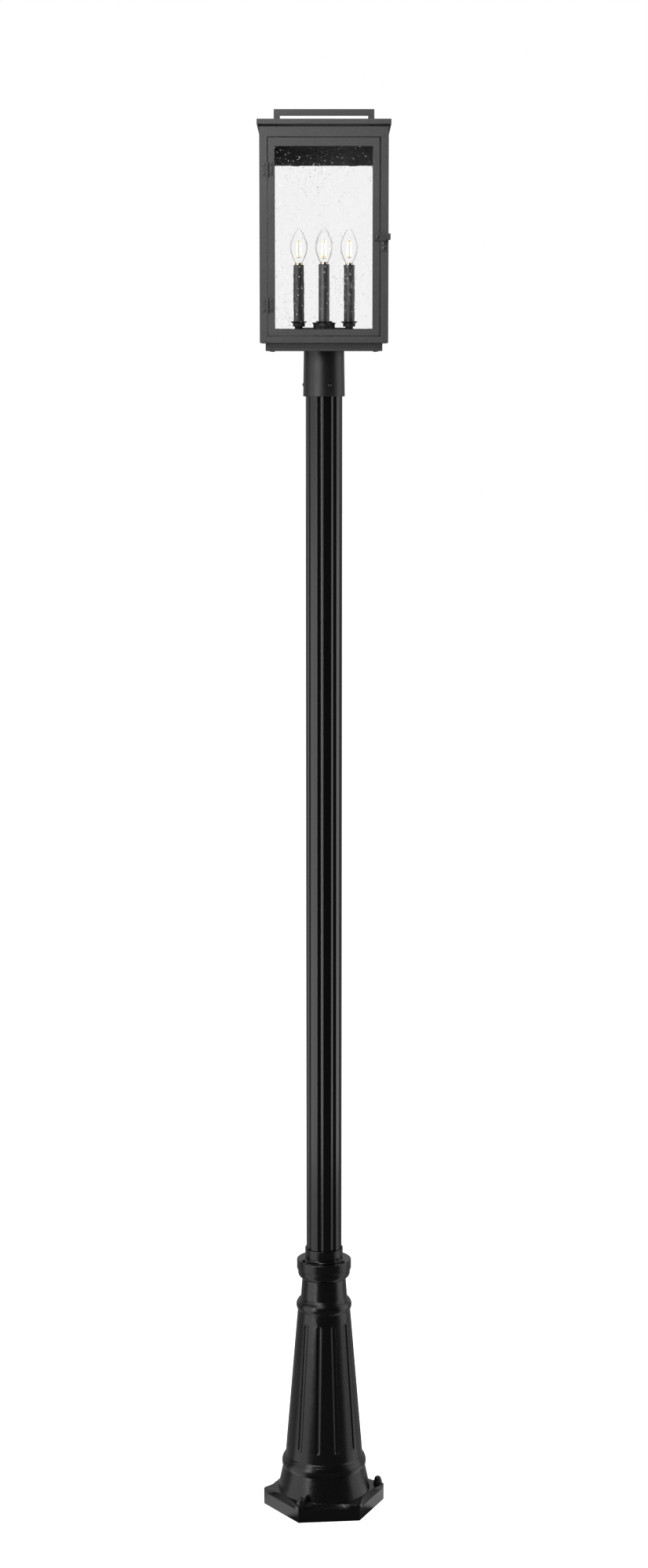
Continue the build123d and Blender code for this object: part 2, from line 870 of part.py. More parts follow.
# Door frame: a face sheet with its edges turned back
with BuildPart() as door_frame:
    block((door_left, -body_half, door_bottom), (door_right, door_back, door_top))
    fillet(door_frame.edges().filter_by(Axis.Y), radius=door_edge_radius)
    block(
        (door_left + sheet, -body_inner, door_bottom + sheet),
        (door_right - sheet, door_back, door_top - sheet),
        mode=Mode.SUBTRACT,
    )
    block(
        (opening_left, -body_half, opening_bottom),
        (opening_right, -body_inner, opening_top),
        mode=Mode.SUBTRACT,
    )
    front_holes(
        [(hinge_axis_x + hinge_screw_offset, level) for level in hinge_screw_levels],
        hinge_screw_radius + thread_clearance,
    )
    front_holes([(latch_pivot_x, latch_level)], latch_pivot_radius + thread_clearance)
finished["door_frame"] = door_frame

with BuildPart() as door_glass:
    block(
        (opening_left - glass_lap, -body_inner, door_bottom + sheet),
        (opening_right + glass_lap, -pane_inner, opening_top + glass_lap),
    )
finished["door_glass"] = door_glass

with BuildPart() as door_glass_retainer:
    retainer_low = (door_left + sheet, -pane_inner, door_bottom + sheet)
    retainer_high = (door_right - sheet, -pane_inner + retainer_thickness, door_top - sheet)
    block(retainer_low, retainer_high)
    block(
        (retainer_low[0] + retainer_width, retainer_low[1], retainer_low[2] + retainer_width),
        (retainer_high[0] - retainer_width, retainer_high[1], retainer_high[2] - retainer_width),
        mode=Mode.SUBTRACT,
    )
finished["door_glass_retainer"] = door_glass_retainer

# Butt hinges, drawn about their axis with the face they lie on at +Y
knuckle_length = (hinge_length - (knuckle_count - 1) * knuckle_gap) / knuckle_count
knuckle_lows = [
    -hinge_length / 2 + index * (knuckle_length + knuckle_gap) for index in range(knuckle_count)
]
leaf_inner = knuckle_radius + knuckle_gap


def hinge_leaf_piece(x_side, own_lows):
    """One leaf with its knuckles, on the left side for -1 and on the right side for 1."""
    leaf_edges = sorted((x_side * leaf_inner, x_side * hinge_reach))
    root_edges = sorted((0, x_side * leaf_inner))
    with BuildPart() as leaf:
        block(
            (leaf_edges[0], knuckle_radius - hinge_leaf, -hinge_length / 2),
            (leaf_edges[1], knuckle_radius, hinge_length / 2),
        )
        for low in own_lows:
            block(
                (root_edges[0], knuckle_radius - hinge_leaf, low),
                (root_edges[1], knuckle_radius, low + knuckle_length),
            )
            with Locations((0, 0, low + knuckle_length / 2)):
                Cylinder(knuckle_radius, knuckle_length)
        Cylinder(hinge_pin_radius + running_clearance, 2 * hinge_length, mode=Mode.SUBTRACT)
        for level in (-hinge_screw_spacing / 2, hinge_screw_spacing / 2):
            with Locations((x_side * hinge_screw_offset, knuckle_radius, level)):
                Cylinder(
                    hinge_screw_radius + thread_clearance,
                    4 * hinge_leaf,
                    rotation=(90, 0, 0),
                    mode=Mode.SUBTRACT,
                )
    return leaf.part


hinge_places = [(hinge_axis_x, hinge_axis_y, level) for level in hinge_levels]
fixed_leaf = hinge_leaf_piece(-1, knuckle_lows[0::2])
door_leaf = hinge_leaf_piece(1, knuckle_lows[1::2])
with BuildPart() as hinge_fixed_leaves:
    with Locations(*hinge_places):
        add(fixed_leaf)
finished["hinge_fixed_leaves"] = hinge_fixed_leaves

with BuildPart() as hinge_door_leaves:
    with Locations(*hinge_places):
        add(door_leaf)
finished["hinge_door_leaves"] = hinge_door_leaves

with BuildPart() as hinge_pins:
    with Locations(*hinge_places):
        Cylinder(hinge_pin_radius, hinge_length)
    for end in (-1, 1):
        head_shift = end * (hinge_length + hinge_pin_head_height) / 2
        with Locations(*[(x, y, z + head_shift) for x, y, z in hinge_places]):
            Cylinder(hinge_pin_head_radius, hinge_pin_head_height)
finished["hinge_pins"] = hinge_pins


def front_plane(x, y, z):
    """Plane that faces the front, for a screw seat."""
    return Plane((x, y, z), x_dir=(1, 0, 0), z_dir=(0, -1, 0))


for name, x in (
    ("hinge_frame_screws", hinge_axis_x - hinge_screw_offset),
    ("hinge_door_screws", hinge_axis_x + hinge_screw_offset),
):
    screw_parts = [
        button_screw(
            front_plane(x, -body_half - hinge_leaf, level),
            hinge_screw_head_radius,
            hinge_screw_head_height,
            hinge_screw_radius,
            hinge_screw_length,
        )
        for level in hinge_screw_levels
    ]
    with BuildPart() as hinge_screws:
        add(screw_parts)
    finished[name] = hinge_screws

# Drop-bar latch: the bar turns on a screw in the door and drops into the keeper
bar_back = -body_half - latch_face_clearance - latch_bush_length
bar_front = bar_back - latch_bar_thickness
bar_length = latch_left_reach + latch_right_reach
with BuildPart() as latch_bar:
    with BuildSketch(front_plane(latch_pivot_x, bar_back, latch_level)):
        with Locations(((latch_right_reach - latch_left_reach) / 2, 0)):
            RectangleRounded(bar_length, latch_bar_height, latch_bar_corner)
    extrude(amount=latch_bar_thickness)
    with BuildSketch(front_plane(latch_pivot_x, bar_back, latch_level)):
        with Locations((latch_right_reach - latch_tab_width / 2, 0)):
            RectangleRounded(latch_tab_width, latch_bar_height, latch_bar_corner)
    extrude(amount=latch_tab_depth)
    fillet(latch_bar.faces().sort_by(Axis.Y)[0].edges(), radius=latch_tab_edge_radius)
    with BuildSketch(front_plane(latch_pivot_x, bar_back, latch_level)):
        Circle(latch_bush_radius)
    extrude(amount=-latch_bush_length)
    with BuildSketch(front_plane(latch_pivot_x, bar_back + latch_bush_length, latch_level)):
        Circle(latch_pivot_radius + running_clearance)
    extrude(amount=latch_bush_length + latch_bar_thickness, mode=Mode.SUBTRACT)
finished["latch_bar"] = latch_bar

pivot_screw = button_screw(
    front_plane(latch_pivot_x, bar_front - latch_face_clearance, latch_level),
    latch_pivot_head_radius,
    latch_pivot_head_height,
    latch_pivot_radius,
    latch_pivot_length,
)
with BuildPart() as latch_pivot_screw:
    add(pivot_screw)
finished["latch_pivot_screw"] = latch_pivot_screw

lip_back = bar_front - keeper_lip_gap
lip_front = lip_back - keeper_sheet
with BuildPart() as latch_keeper:
    with BuildSketch(Plane.YZ.offset(keeper_x - keeper_width / 2)):
        with BuildLine():
            Polyline(
                (-body_half, keeper_plate_top - keeper_plate_height),
                (-body_half, keeper_ledge_top),
                (lip_back, keeper_ledge_top),
                (lip_back, keeper_ledge_top + keeper_lip_height),
                (lip_front, keeper_ledge_top + keeper_lip_height),
                (lip_front, keeper_plate_top),
                (-body_half - keeper_sheet, keeper_plate_top),
                (-body_half - keeper_sheet, keeper_plate_top - keeper_plate_height),
                close=True,
            )
        make_face()
    extrude(amount=keeper_width)
    front_holes(
        [(keeper_x, level) for level in keeper_screw_levels],
        keeper_screw_radius + thread_clearance,
    )
finished["latch_keeper"] = latch_keeper

keeper_screw_parts = [
    button_screw(
        front_plane(keeper_x, -body_half - keeper_sheet, level),
        keeper_screw_head_radius,
        keeper_screw_head_height,
        keeper_screw_radius,
        keeper_screw_length,
    )
    for level in keeper_screw_levels
]
with BuildPart() as latch_keeper_screws:
    add(keeper_screw_parts)
finished["latch_keeper_screws"] = latch_keeper_screws

# Candle cluster: a threaded nipple clamps the hub, floor, pan and fitter together
hub_top = floor_top + hub_height
hub_cap_top = hub_top + hub_cap_height
nipple_bottom = post_top - nipple_nut_height - nipple_tail
nipple_top = hub_cap_top + nipple_nut_height + nipple_tail
with BuildPart() as centre_nipple:
    with BuildSketch(Plane.XY.offset(nipple_bottom)):
        Circle(nipple_radius)
        Circle(nipple_bore_radius, mode=Mode.SUBTRACT)
    extrude(amount=nipple_top - nipple_bottom)
finished["centre_nipple"] = centre_nipple

with BuildPart() as nipple_nuts:
    for level in (post_top - nipple_nut_height, hub_cap_top):
        with BuildSketch(Plane.XY.offset(level)):
            RegularPolygon(nipple_nut_radius, 6)
            Circle(nipple_radius + thread_clearance, mode=Mode.SUBTRACT)
        extrude(amount=nipple_nut_height)
finished["nipple_nuts"] = nipple_nuts

arm_level = floor_top + arm_height
arm_inner_end = hub_radius - hub_wall - arm_insert
arm_outer_end = candle_circle_radius - cup_stem_radius + arm_insert
arm_azimuths = [360 / candle_count * index for index in range(candle_count)]
with BuildPart() as cluster_hub:
    with BuildSketch(Plane.XY.offset(floor_top)):
        Circle(hub_radius)
        Circle(hub_radius - hub_wall, mode=Mode.SUBTRACT)
    extrude(amount=hub_height)
    for azimuth in arm_azimuths:
        with BuildSketch(radial_plane(azimuth, arm_inner_end, arm_level)):
            Circle(arm_radius + arm_clearance)
        extrude(amount=hub_radius, mode=Mode.SUBTRACT)
finished["cluster_hub"] = cluster_hub

with BuildPart() as hub_cap:
    with BuildSketch(Plane.XY.offset(hub_top)):
        Circle(hub_cap_radius)
    extrude(amount=hub_cap_height)
    fillet(hub_cap.edges().group_by(Axis.Z)[-1], radius=hub_cap_edge_radius)
    with BuildSketch(Plane.XY.offset(hub_top)):
        Circle(nipple_radius + nipple_clearance)
    extrude(amount=hub_cap_height, mode=Mode.SUBTRACT)
finished["hub_cap"] = hub_cap

with BuildPart() as cluster_arms:
    for azimuth in arm_azimuths:
        with BuildSketch(radial_plane(azimuth, arm_inner_end, arm_level)):
            Circle(arm_radius)
            Circle(arm_bore_radius, mode=Mode.SUBTRACT)
        extrude(amount=arm_outer_end - arm_inner_end)
finished["cluster_arms"] = cluster_arms

cup_stem_bottom = arm_level - cup_stem_drop
cup_bottom = cup_stem_bottom + cup_stem_height
dish_foot = cup_bottom + cup_height
cup_top = dish_foot + cup_dish_height
recess_bottom = cup_top - cup_recess_depth
recess_radius = sleeve_radius + sleeve_clearance
stem_bore_bottom = arm_level + arm_radius
with BuildPart() as candle_cup:
    with BuildSketch(Plane.XZ):
        with BuildLine():
            Polyline(
                (0, cup_stem_bottom),
                (cup_stem_radius, cup_stem_bottom),
                (cup_stem_radius, cup_bottom),
                (cup_radius, cup_bottom),
                (cup_radius, dish_foot),
                (cup_dish_radius, cup_top - cup_dish_edge),
                (cup_dish_radius, cup_top),
                (recess_radius, cup_top - cup_dish_edge),
                (recess_radius, recess_bottom),
                (socket_stem_radius + arm_clearance, recess_bottom),
                (socket_stem_radius + arm_clearance, stem_bore_bottom),
                (0, stem_bore_bottom),
                close=True,
            )
        make_face()
    revolve(axis=Axis.Z)
    with BuildSketch(Plane((-cup_stem_radius, 0, arm_level), x_dir=(0, 1, 0), z_dir=(1, 0, 0))):
        Circle(arm_radius + arm_clearance)
    extrude(amount=arm_insert + arm_clearance, mode=Mode.SUBTRACT)
with BuildPart() as candle_cups:
    with PolarLocations(candle_circle_radius, candle_count):
        add(candle_cup.part)
finished["candle_cups"] = candle_cups


def candle_ring(bottom, top, outer_radius, inner_radius=0.0):
    """Four upright cylinders or tubes, one on each candle's axis."""
    with BuildPart() as ring:
        with BuildSketch(Plane.XY.offset(bottom)):
            with PolarLocations(candle_circle_radius, candle_count):
                Circle(outer_radius)
                if inner_radius:
                    Circle(inner_radius, mode=Mode.SUBTRACT)
        extrude(amount=top - bottom)
    return ring


sleeve_top = recess_bottom + sleeve_length
socket_top = sleeve_top - socket_inset
socket_bottom = socket_top - socket_length
socket_well = socket_bottom + socket_floor
finished["candle_sleeves"] = candle_ring(
    recess_bottom, sleeve_top, sleeve_radius, sleeve_bore_radius
)
finished["socket_stems"] = candle_ring(
    stem_bore_bottom, socket_bottom + socket_stem_insert, socket_stem_radius, socket_stem_bore_radius
)

collar_bottom = socket_well + bulb_contact_height + bulb_base_length
bulb_seat = collar_bottom + bulb_collar_height
with BuildPart() as candle_socket:
    with BuildSketch(Plane.XY.offset(socket_bottom)):
        Circle(socket_radius)
    extrude(amount=socket_length)
    with BuildSketch(Plane.XY.offset(socket_well)):
        Circle(bulb_base_radius + bulb_base_clearance)
    extrude(amount=socket_length - socket_floor, mode=Mode.SUBTRACT)
    with BuildSketch(Plane.XY.offset(socket_bottom)):
        Circle(socket_stem_radius + arm_clearance)
    extrude(amount=socket_stem_insert, mode=Mode.SUBTRACT)
with BuildPart() as candle_sockets:
    with PolarLocations(candle_circle_radius, candle_count):
        add(candle_socket.part)
finished["candle_sockets"] = candle_sockets

# Bulb: a screw base with a wide collar, a clear envelope, a stem and lit filaments
with BuildPart() as bulb_base:
    with BuildSketch(Plane.XY.offset(socket_well)):
        Circle(bulb_contact_radius)
    extrude(amount=bulb_contact_height)
    with BuildSketch(Plane.XY.offset(socket_well + bulb_contact_height)):
        Circle(bulb_base_radius)
    extrude(amount=bulb_base_length)
    with BuildSketch(Plane.XY.offset(collar_bottom)):
        Circle(bulb_collar_radius)
    extrude(amount=bulb_collar_height)
with BuildPart() as bulb_bases:
    with PolarLocations(candle_circle_radius, candle_count):
        add(bulb_base.part)
finished["bulb_bases"] = bulb_bases


def candle_outline(inset):
    """Half outline of the candle-shaped envelope, moved inwards by the inset, as three points."""
    neck = (bulb_neck_radius - inset, bulb_seat)
    widest = (bulb_radius - inset, bulb_seat + bulb_shoulder_height)
    tip = (bulb_tip_radius, bulb_seat + bulb_length - inset)
    return neck, widest, tip


def add_envelope_lines(inset):
    """Edges of the candle-shaped half section, closed along the bulb's axis."""
    neck, widest, tip = candle_outline(inset)
    Spline(neck, widest, tip, tangents=[bulb_neck_lean, bulb_tip_lean])
    Polyline(tip, (0, tip[1]), (0, neck[1]), neck)


with BuildPart() as envelope:
    with BuildSketch(Plane.XZ):
        with BuildLine():
            add_envelope_lines(0)
        make_face()
        with BuildLine():
            add_envelope_lines(bulb_wall)
        make_face(mode=Mode.SUBTRACT)
    revolve(axis=Axis.Z)
with BuildPart() as bulb_glass:
    with PolarLocations(candle_circle_radius, candle_count):
        add(envelope.part)
finished["bulb_glass"] = bulb_glass

with BuildPart() as bulb_stem:
    with BuildSketch(Plane.XZ):
        with BuildLine():
            Polyline(
                (0, bulb_seat),
                (bulb_stem_radius, bulb_seat),
                (bulb_stem_tip_radius, bulb_seat + bulb_stem_height),
                (0, bulb_seat + bulb_stem_height),
                close=True,
            )
        make_face()
    revolve(axis=Axis.Z)
with BuildPart() as bulb_stems:
    with PolarLocations(candle_circle_radius, candle_count):
        add(bulb_stem.part)
finished["bulb_stems"] = bulb_stems

filament_azimuths = [45 + 360 / filament_count * index for index in range(filament_count)]
filament_foot = bulb_seat + filament_foot_height
filament_top = bulb_seat + filament_top_height
with BuildPart() as filament_set:
    for azimuth in filament_azimuths:
        outward = Vector(cos(radians(azimuth)), sin(radians(azimuth)), 0)
        foot = outward * filament_foot_circle + Vector(0, 0, filament_foot)
        run = outward * filament_top_circle + Vector(0, 0, filament_top) - foot
        with BuildSketch(Plane(foot, z_dir=run)):
            Circle(filament_radius)
        extrude(amount=run.length)
with BuildPart() as bulb_filaments:
    with PolarLocations(candle_circle_radius, candle_count):
        add(filament_set.part)
finished["bulb_filaments"] = bulb_filaments

filament_lean = atan2(filament_foot_circle - filament_top_circle, filament_top - filament_foot)
wire_shift = support_wire_radius + filament_radius * sin(filament_lean)
wire_levels = (
    (filament_foot - wire_shift, filament_foot_circle),
    (filament_top + wire_shift, filament_top_circle),
)
with BuildPart() as filament_frame:
    with BuildSketch(Plane.XY.offset(bulb_seat + bulb_stem_height)):
        Circle(support_wire_radius)
    extrude(amount=filament_top + wire_shift - bulb_seat - bulb_stem_height)
    for level, reach in wire_levels:
        for azimuth in filament_azimuths:
            with BuildSketch(radial_plane(azimuth, 0, level)):
                Circle(support_wire_radius)
            extrude(amount=reach + filament_radius)
with BuildPart() as filament_frames:
    with PolarLocations(candle_circle_radius, candle_count):
        add(filament_frame.part)
finished["filament_frames"] = filament_frames

# Write every piece as a file of its own
os.makedirs("parts", exist_ok=True)
for name, piece in finished.items():
    piece.part.label = name
    export_step(piece.part, f"parts/{name}.step")
print(len(finished), "pieces, total height", roof_top + handle_rise)
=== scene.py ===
"""Four-light post light: the finishes, the glass and the lamps on its CAD frame, and its stage."""

import math
import random

import bmesh
import bpy
from mathutils import Matrix, Vector


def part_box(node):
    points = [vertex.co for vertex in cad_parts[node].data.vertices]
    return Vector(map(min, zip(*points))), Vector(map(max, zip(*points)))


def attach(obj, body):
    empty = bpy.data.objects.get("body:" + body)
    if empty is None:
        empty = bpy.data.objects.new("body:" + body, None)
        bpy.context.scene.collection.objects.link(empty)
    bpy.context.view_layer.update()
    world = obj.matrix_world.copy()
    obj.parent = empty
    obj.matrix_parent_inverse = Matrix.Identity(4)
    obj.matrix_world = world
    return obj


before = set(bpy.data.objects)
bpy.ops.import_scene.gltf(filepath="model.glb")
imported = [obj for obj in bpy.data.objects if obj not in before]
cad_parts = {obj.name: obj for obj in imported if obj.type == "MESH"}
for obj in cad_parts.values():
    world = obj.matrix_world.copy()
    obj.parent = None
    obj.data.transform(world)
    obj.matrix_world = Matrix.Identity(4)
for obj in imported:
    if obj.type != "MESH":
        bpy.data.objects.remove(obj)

bl_info = {
    "name": "Four-light post light",
    "version": (1, 0, 0),
    "blender": (4, 5, 0),
    "location": "View3D > Sidebar > Post light",
    "description": "Finishes a four-light lantern on a fluted post and sets its stage",
    "category": "Object",
}

PANES = {
    "door_glass": ("seeds_door", "door"),
    "rear_glass": ("seeds_rear", "lantern_and_post"),
    "left_glass": ("seeds_left", "lantern_and_post"),
    "right_glass": ("seeds_right", "lantern_and_post"),
}

WHITE = (1.0, 1.0, 1.0, 1.0)
CLUSTER_BLACK = (0.016, 0.016, 0.017, 1.0)
SLEEVE_BLACK = (0.034, 0.034, 0.035, 1.0)
SOCKET_CREAM = (0.72, 0.66, 0.52, 1.0)
BRASS = (0.56, 0.37, 0.12, 1.0)
NICKEL = (0.66, 0.55, 0.42, 1.0)
BULB_CLEAR = (0.985, 0.985, 0.985, 1.0)
STEM_CLEAR = (0.86, 0.74, 0.62, 1.0)
FILAMENT_COLD = (0.8, 0.72, 0.55, 1.0)
FILAMENT_HOT = (1.0, 0.97, 0.88, 1.0)
PANE_IOR = 1.34
BULB_IOR = 1.5

# How far edges are rounded and how far wear and painted highlight reach from them, in metres
SHEET_ROUNDING = 0.0007
SHEET_WEAR_AND_HIGHLIGHT = 0.0012
PAINT_WEAR_AND_HIGHLIGHT = 0.0009
HARDWARE_ROUNDING = 0.0004
HARDWARE_WEAR_AND_HIGHLIGHT = 0.0006
SLEEVE_ROUNDING = 0.0006
SOCKET_ROUNDING = 0.0005

# Depths of fine textures, in metres
HARDWARE_GRAIN = 0.00003
SLEEVE_GRAIN = 0.0003
SOCKET_GRAIN = 0.00004
SEED_DIMPLE = 0.00005
BULB_FLOW = 0.00008
CLUSTER_GRAIN = 0.00006

# Air bubbles in the panes
FIRST_DRAW = 11
SMALLEST_SEED = 0.36  # width over the width of the largest seed
FINE_SEED = 0.55  # seeds below this width over the largest get the plainer ball
SEED_RARITY = 5  # the higher, the fewer wide seeds
LONGEST_SEED = 2.8  # length over width
SEED_DEPTH = 0.3  # a seed's greatest half depth over the pane's thickness
SEED_TILT = 0.5  # spread of the angle off the draw, in radians
SIDE_ROOM = 1.1  # room to the pane's edges over the seed's length
FACE_ROOM = 1.3  # room to the pane's faces over the seed's depth
SWARM_SPREAD = 0.016  # metres

# Name, place, aim, width, height and power of each lamp, in metres and watts
LAMPS = [
    ("key_softbox", (-0.75, -1.1, 3.75), (0.0, 0.0, 2.75), 0.7, 0.7, 24.0),
    ("front_softbox", (-0.95, -2.0, 2.9), (0.0, 0.0, 2.6), 0.6, 0.5, 11.0),
    ("back_strip", (0.0, 2.6, 3.9), (0.0, 0.0, 0.4), 2.4, 0.4, 45.0),
    ("left_strip", (-1.75, -1.95, 1.4), (0.0, 0.0, 1.4), 0.42, 3.4, 22.0),
    ("left_card", (-2.41, -0.97, 1.4), (0.0, 0.0, 1.4), 2.3, 3.4, 26.0),
    ("right_card", (2.6, 0.1, 1.4), (0.0, 0.0, 1.4), 2.0, 3.4, 26.0),
]

FLOOR_REACH = 40.0
FLOOR_PALE = (0.8, 0.8, 0.8, 1.0)  # to the camera and through glass
FLOOR_DARK = (0.12, 0.12, 0.12, 1.0)  # to all other light
FLOOR_LIFT = 0.86  # what brings the pale floor up to white
FLOOR_FRONT = 0.3  # brightness in the gloss over that of the dark front
# Where the gloss finds the floor bright: direction, the cosines between which it comes up to
# full, and how bright it is there
FLOOR_CARDS = [
    ((-0.93, -0.37, 0.0), (0.88, 0.95), 1.0),
    ((1.0, 0.0, 0.0), (0.92, 0.97), 0.75),
    ((0.0, 1.0, 0.0), (0.0, 0.4), 0.16),
]


# Shader building

def feed(socket, value):
    """Links a Value to a socket, or sets the socket's own value."""
    if isinstance(value, Value):
        socket.id_data.links.new(value.socket, socket)
    else:
        socket.default_value = value


class Value:
    """An output socket of a material. Arithmetic on it adds Math nodes."""

    def __init__(self, socket):
        self.socket = socket

    def math(self, operation, first, second=0.0, clamp=False):
        node = self.socket.id_data.nodes.new("ShaderNodeMath")
        node.operation = operation
        node.use_clamp = clamp
        feed(node.inputs[0], first)
        feed(node.inputs[1], second)
        return Value(node.outputs[0])

    def __add__(self, other):
        return self.math("ADD", self, other)

    def __radd__(self, other):
        return self.math("ADD", other, self)

    def __sub__(self, other):
        return self.math("SUBTRACT", self, other)

    def __rsub__(self, other):
        return self.math("SUBTRACT", other, self)

    def __mul__(self, other):
        return self.math("MULTIPLY", self, other)

    def __rmul__(self, other):
        return self.math("MULTIPLY", other, self)

    def between(self, low, high):
        """0 at low, 1 at high and straight between them, held at both ends."""
        return self.math("MULTIPLY", self - low, 1.0 / (high - low), clamp=True)


class Tree:
    """A node tree that is emptied and then built node by node."""

    def __init__(self, tree):
        self.tree = tree
        self.tree.nodes.clear()

    def node(self, kind, settings, inputs, output=0):
        """Adds a node, sets it up, then gives its sockets their values or links."""
        node = self.tree.nodes.new(kind)
        for name, value in settings.items():
            setattr(node, name, value)
        for name, value in inputs.items():
            feed(node.inputs[name], value)
        return Value(node.outputs[output])

    def end(self, kind, shader):
        """Adds the tree's output node."""
        output = self.tree.nodes.new(kind)
        feed(output.inputs["Surface"], shader)


class Surface(Tree):
    """A new material."""

    def __init__(self, name):
        self.material = bpy.data.materials.new(name)
        self.material.use_nodes = True
        super().__init__(self.material.node_tree)

    def place(self, stretch=(1.0, 1.0, 1.0)):
        """Position on the object in metres, scaled by stretch."""
        position = self.node("ShaderNodeTexCoord", {}, {}, "Object")
        return self.node(
            "ShaderNodeVectorMath", {"operation": "MULTIPLY"}, {0: position, 1: stretch}
        )

    def noise(self, scale, detail=2.0, stretch=(1.0, 1.0, 1.0), roughness=0.5):
        return self.node(
            "ShaderNodeTexNoise",
            {},
            {
                "Vector": self.place(stretch),
                "Scale": scale,
                "Detail": detail,
                "Roughness": roughness,
            },
            "Fac",
        )

    def mix(self, amount, first, second):
        """Colour that goes from first to second as amount goes from 0 to 1."""
        return self.node(
            "ShaderNodeMix", {"data_type": "RGBA"}, {0: amount, 6: first, 7: second}, 2
        )

    def rounded(self, radius):
        """Surface normal with the edges rounded off by radius."""
        return self.node("ShaderNodeBevel", {"samples": 4}, {"Radius": radius}, "Normal")

    def edges(self, radius):
        """Near 0 on open surfaces and rising to 1 along sharp edges."""
        flat = self.node("ShaderNodeNewGeometry", {}, {}, "Normal")
        likeness = self.node(
            "ShaderNodeVectorMath",
            {"operation": "DOT_PRODUCT"},
            {0: self.rounded(radius), 1: flat},
            "Value",
        )
        return (1.0 - likeness).between(0.02, 0.25)

    def bump(self, height, distance, normal=None):
        inputs = {"Height": height, "Distance": distance, "Strength": 1.0}
        if normal is not None:
            inputs["Normal"] = normal
        return self.node("ShaderNodeBump", {}, inputs)

    def principled(self, inputs):
        return self.node("ShaderNodeBsdfPrincipled", {}, inputs)

    def finish(self, shader):
        self.end("ShaderNodeOutputMaterial", shader)
        return self.material

    def let_light_through(self, shader, tint=WHITE):
        """The shader, except that light on its way to what is behind goes straight through it."""
        clear = self.node("ShaderNodeBsdfTransparent", {}, {"Color": tint})
        for kind in ("Is Reflection Ray", "Is Shadow Ray"):
            ray = self.node("ShaderNodeLightPath", {}, {}, kind)
            shader = self.node("ShaderNodeMixShader", {}, {0: ray, 1: shader, 2: clear})
        return shader


def paint(material, names):
    """Gives the material to these CAD nodes."""
    for name in names:
        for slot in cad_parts[name].material_slots:
            slot.material = material


def shade_of(colour, factor):
    return tuple(channel * factor for channel in colour[:3]) + (1.0,)


# Finishes

def powder_coat(name, colour, grain):
    """Fine-textured powder coat over folded sheet, its edges lighter from wear and from a painted
    highlight.
    """
    coat = Surface(name)
    cloud = coat.noise(scale=9.0, detail=4.0)
    speck = coat.noise(scale=620.0, detail=3.0, roughness=0.7)
    # The edge mask and the lighter edge colour below are partly wear and partly a painted
    # highlight along the edges
    wear_and_highlight = coat.edges(SHEET_WEAR_AND_HIGHLIGHT) * coat.noise(scale=120.0, detail=4.0).between(0.42, 0.62)
    tone = (0.2 * cloud + 0.8 * speck).between(0.36, 0.64)
    body = coat.mix(tone, shade_of(colour, 0.72), shade_of(colour, 1.28))
    worn_and_highlit = coat.mix(0.4 * wear_and_highlight, body, shade_of(colour, 2.4))
    height = coat.noise(scale=1100.0, detail=2.0) + coat.noise(scale=480.0, detail=2.0)
    return coat.finish(
        coat.principled(
            {
                "Base Color": worn_and_highlit,
                "Roughness": 0.46 + 0.12 * cloud - 0.1 * wear_and_highlight,
                "Specular IOR Level": 0.4,
                "Normal": coat.bump(height, grain, coat.rounded(SHEET_ROUNDING)),
            }
        )
    )


def gloss_paint(name, colour, roughness, grain, cast, rounding):
    """Black paint, thin on the edges and made lighter there with a painted highlight. Cast is how
    strong the lumps of a casting are in it.
    """
    coat = Surface(name)
    cloud = coat.noise(scale=7.0, detail=5.0)
    streak = coat.noise(scale=22.0, detail=3.0, stretch=(1.0, 1.0, 0.08))
    dust = coat.noise(scale=300.0, detail=4.0).between(0.45, 0.75)
    # The edge mask and the much lighter edge colour below are partly paint worn thin and partly a
    # painted highlight along the edges
    wear_and_highlight = coat.edges(PAINT_WEAR_AND_HIGHLIGHT) * coat.noise(scale=90.0, detail=4.0).between(0.35, 0.6)
    body = coat.mix(cloud.between(0.3, 0.7), shade_of(colour, 0.8), shade_of(colour, 1.2))
    dusted = coat.mix(0.12 * dust, body, shade_of(colour, 2.5))
    worn_and_highlit = coat.mix(0.5 * wear_and_highlight, dusted, shade_of(colour, 6.0))
    sand = coat.noise(scale=650.0, detail=3.0)
    lumps = coat.noise(scale=110.0, detail=3.0)
    height = sand + cast * lumps
    return coat.finish(
        coat.principled(
            {
                "Base Color": worn_and_highlit,
                "Roughness": roughness + 0.08 * (streak - 0.5) + 0.1 * dust,
                "Specular IOR Level": 0.5,
                "Normal": coat.bump(height, grain, coat.rounded(rounding)),
            }
        )
    )


def plated_steel(name, colour, roughness, metallic=1.0):
    """Plated or blackened small hardware with fine handling marks, its edges lighter from wear and
    from a painted highlight.
    """
    steel = Surface(name)
    cloud = steel.noise(scale=160.0, detail=4.0)
    marks = steel.noise(scale=900.0, detail=2.0, stretch=(1.0, 0.15, 1.0))
    body = steel.mix(cloud.between(0.3, 0.7), shade_of(colour, 0.8), shade_of(colour, 1.15))
    # The edge mask and the lighter edge colour below are partly wear and partly a painted
    # highlight along the edges
    wear_and_highlight = steel.edges(HARDWARE_WEAR_AND_HIGHLIGHT)
    worn_and_highlit = steel.mix(0.35 * wear_and_highlight, body, shade_of(colour, 2.0))
    return steel.finish(
        steel.principled(
            {
                "Base Color": worn_and_highlit,
                "Metallic": metallic,
                "Roughness": roughness + 0.12 * (marks - 0.5),
                "Normal": steel.bump(
                    marks + cloud, HARDWARE_GRAIN, steel.rounded(HARDWARE_ROUNDING)
                ),
            }
        )
    )


